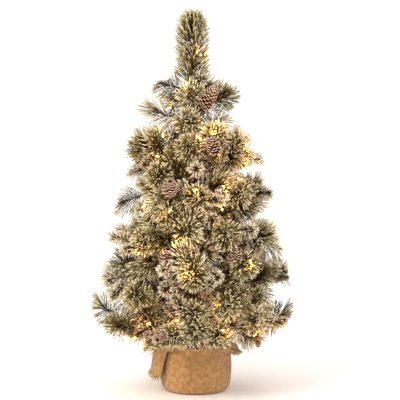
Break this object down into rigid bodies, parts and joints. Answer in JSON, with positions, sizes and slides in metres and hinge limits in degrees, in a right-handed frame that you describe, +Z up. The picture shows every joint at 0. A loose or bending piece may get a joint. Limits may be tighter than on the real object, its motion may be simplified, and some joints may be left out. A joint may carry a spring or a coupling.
{
  "type": "artificial christmas tree",
  "caption": "Tabletop artificial pine with frosted bristle needles, pine cones and warm battery lights, bendable wire branches, and a burlap-wrapped weighted base.",
  "frame": {"origin": "On the floor, at the centre of the foot, on the pole's axis", "axes": "+Z up along the pole, the viewed front faces -Y, +X is to the viewer's right"},
  "size_m": [0.4575, 0.4517, 0.9117],
  "materials": {
    "needles": "cut plastic film needles, olive green with cream frosted ends",
    "stem_wire": "twisted wire, dark green-brown",
    "pole_wrap": "steel pole in dark brown tape",
    "cone_scales": "dry woody scales with frosted rims",
    "tub_plastic": "moulded black plastic",
    "cast_ballast": "cast cement, rough",
    "burlap": "open plain-weave jute with a frayed hem",
    "case_plastic": "moulded dark green plastic",
    "switch_plastic": "moulded black plastic",
    "board": "green circuit board",
    "cell_jacket": "plain dark metal cell jacket",
    "lead_insulation": "green insulated wire"
  },
  "bodies": {
    "base": {"trunk_pole": "pole_wrap", "base_tub": "tub_plastic", "ballast": "cast_ballast", "burlap_bag": "burlap", "battery_case": "case_plastic", "timer_board": "board", "battery_cell_1": "cell_jacket", "battery_cell_2": "cell_jacket", "battery_cell_3": "cell_jacket", "light_lead": "lead_insulation"},
    "battery_door": {"battery_door": "case_plastic"},
    "power_switch": {"power_switch": "switch_plastic"},
    "branch_a1": {"branch_a1_stem": "stem_wire", "branch_a1_spray": "needles"},
    "branch_a2": {"branch_a2_stem": "stem_wire", "branch_a2_spray": "needles"},
    "branch_a3": {"branch_a3_stem": "stem_wire", "branch_a3_spray": "needles"},
    "branch_a4": {"branch_a4_stem": "stem_wire", "branch_a4_spray": "needles", "cone_7": "cone_scales", "cone_8": "cone_scales"},
    "branch_a5": {"branch_a5_stem": "stem_wire", "branch_a5_spray": "needles"},
    "branch_b1": {"branch_b1_stem": "stem_wire", "branch_b1_spray": "needles"},
    "branch_b2": {"branch_b2_stem": "stem_wire", "branch_b2_spray": "needles"},
    "branch_b3": {"branch_b3_stem": "stem_wire", "branch_b3_spray": "needles"},
    "branch_b4": {"branch_b4_stem": "stem_wire", "branch_b4_spray": "needles", "cone_6": "cone_scales"},
    "branch_c1": {"branch_c1_stem": "stem_wire", "branch_c1_spray": "needles"},
    "branch_c2": {"branch_c2_stem": "stem_wire", "branch_c2_spray": "needles"},
    "branch_c3": {"branch_c3_stem": "stem_wire", "branch_c3_spray": "needles", "cone_4": "cone_scales"},
    "branch_c4": {"branch_c4_stem": "stem_wire", "branch_c4_spray": "needles", "cone_5": "cone_scales"},
    "branch_d1": {"branch_d1_stem": "stem_wire", "branch_d1_spray": "needles"},
    "branch_d2": {"branch_d2_stem": "stem_wire", "branch_d2_spray": "needles"},
    "branch_d3": {"branch_d3_stem": "stem_wire", "branch_d3_spray": "needles", "cone_3": "cone_scales"},
    "branch_e1": {"branch_e1_stem": "stem_wire", "branch_e1_spray": "needles"},
    "branch_e2": {"branch_e2_stem": "stem_wire", "branch_e2_spray": "needles"},
    "branch_e3": {"branch_e3_stem": "stem_wire", "branch_e3_spray": "needles", "cone_2": "cone_scales"},
    "leader": {"leader_stem": "stem_wire", "leader_spray": "needles", "cone_1": "cone_scales"}
  },
  "joints": [
    {"name": "branch_a1_bend", "type": "hinge", "parent": "base", "child": "branch_a1", "pos_m": [0.00635, 0.00874, 0.17], "axis": [0.809, -0.5878, 0], "range_deg": [-12, 60], "deforming": ["branch_a1_spray"]},
    {"name": "branch_a2_bend", "type": "hinge", "parent": "base", "child": "branch_a2", "pos_m": [-0.00635, 0.00874, 0.17], "axis": [0.809, 0.5878, 0], "range_deg": [-12, 60], "deforming": ["branch_a2_spray"]},
    {"name": "branch_a3_bend", "type": "hinge", "parent": "base", "child": "branch_a3", "pos_m": [-0.01027, -0.00334, 0.17], "axis": [-0.309, 0.9511, 0], "range_deg": [-12, 60], "deforming": ["branch_a3_spray"]},
    {"name": "branch_a4_bend", "type": "hinge", "parent": "base", "child": "branch_a4", "pos_m": [0, -0.0108, 0.17], "axis": [-1, 0, 0], "range_deg": [-12, 60], "deforming": ["branch_a4_spray"]},
    {"name": "branch_a5_bend", "type": "hinge", "parent": "base", "child": "branch_a5", "pos_m": [0.01027, -0.00334, 0.17], "axis": [-0.309, -0.9511, 0], "range_deg": [-12, 60], "deforming": ["branch_a5_spray"]},
    {"name": "branch_b1_bend", "type": "hinge", "parent": "base", "child": "branch_b1", "pos_m": [0.01067, 0.00169, 0.238], "axis": [0.1564, -0.9877, 0], "range_deg": [-12, 51], "deforming": ["branch_b1_spray"]},
    {"name": "branch_b2_bend", "type": "hinge", "parent": "base", "child": "branch_b2", "pos_m": [-0.00169, 0.01067, 0.238], "axis": [0.9877, 0.1564, 0], "range_deg": [-12, 51], "deforming": ["branch_b2_spray"]},
    {"name": "branch_b3_bend", "type": "hinge", "parent": "base", "child": "branch_b3", "pos_m": [-0.01067, -0.00169, 0.238], "axis": [-0.1564, 0.9877, 0], "range_deg": [-12, 51], "deforming": ["branch_b3_spray"]},
    {"name": "branch_b4_bend", "type": "hinge", "parent": "base", "child": "branch_b4", "pos_m": [0.00169, -0.01067, 0.238], "axis": [-0.9877, -0.1564, 0], "range_deg": [-12, 51], "deforming": ["branch_b4_spray"]},
    {"name": "branch_c1_bend", "type": "hinge", "parent": "base", "child": "branch_c1", "pos_m": [0.0049, 0.00962, 0.316], "axis": [0.891, -0.454, 0], "range_deg": [-12, 43], "deforming": ["branch_c1_spray"]},
    {"name": "branch_c2_bend", "type": "hinge", "parent": "base", "child": "branch_c2", "pos_m": [-0.00962, 0.0049, 0.316], "axis": [0.454, 0.891, 0], "range_deg": [-12, 43], "deforming": ["branch_c2_spray"]},
    {"name": "branch_c3_bend", "type": "hinge", "parent": "base", "child": "branch_c3", "pos_m": [-0.0049, -0.00962, 0.316], "axis": [-0.891, 0.454, 0], "range_deg": [-12, 43], "deforming": ["branch_c3_spray"]},
    {"name": "branch_c4_bend", "type": "hinge", "parent": "base", "child": "branch_c4", "pos_m": [0.00962, -0.0049, 0.316], "axis": [-0.454, -0.891, 0], "range_deg": [-12, 43], "deforming": ["branch_c4_spray"]},
    {"name": "branch_d1_bend", "type": "hinge", "parent": "base", "child": "branch_d1", "pos_m": [0.01015, 0.00369, 0.406], "axis": [0.342, -0.9397, 0], "range_deg": [-12, 35], "deforming": ["branch_d1_spray"]},
    {"name": "branch_d2_bend", "type": "hinge", "parent": "base", "child": "branch_d2", "pos_m": [-0.00827, 0.00694, 0.406], "axis": [0.6428, 0.766, 0], "range_deg": [-12, 35], "deforming": ["branch_d2_spray"]},
    {"name": "branch_d3_bend", "type": "hinge", "parent": "base", "child": "branch_d3", "pos_m": [-0.00188, -0.01064, 0.406], "axis": [-0.9848, 0.1736, 0], "range_deg": [-12, 35], "deforming": ["branch_d3_spray"]},
    {"name": "branch_e1_bend", "type": "hinge", "parent": "base", "child": "branch_e1", "pos_m": [0.00188, 0.01064, 0.494], "axis": [0.9848, -0.1736, 0], "range_deg": [-12, 27], "deforming": ["branch_e1_spray"]},
    {"name": "branch_e2_bend", "type": "hinge", "parent": "base", "child": "branch_e2", "pos_m": [-0.01015, -0.00369, 0.494], "axis": [-0.342, 0.9397, 0], "range_deg": [-12, 27], "deforming": ["branch_e2_spray"]},
    {"name": "branch_e3_bend", "type": "hinge", "parent": "base", "child": "branch_e3", "pos_m": [0.00827, -0.00694, 0.494], "axis": [-0.6428, -0.766, 0], "range_deg": [-12, 27], "deforming": ["branch_e3_spray"]},
    {"name": "leader_bend", "type": "hinge", "parent": "base", "child": "leader", "pos_m": [0, 0, 0.6033], "axis": [0, 1, 0], "range_deg": [-20, 20], "deforming": ["leader_spray"]},
    {"name": "battery_door_slide", "type": "slide", "parent": "base", "child": "battery_door", "axis": [0, 0, 1], "range_m": [0, 0.055]},
    {"name": "power_switch_slide", "type": "slide", "parent": "base", "child": "power_switch", "axis": [1, 0, 0], "range_m": [-0.0025, 0.0025]}
  ]
}
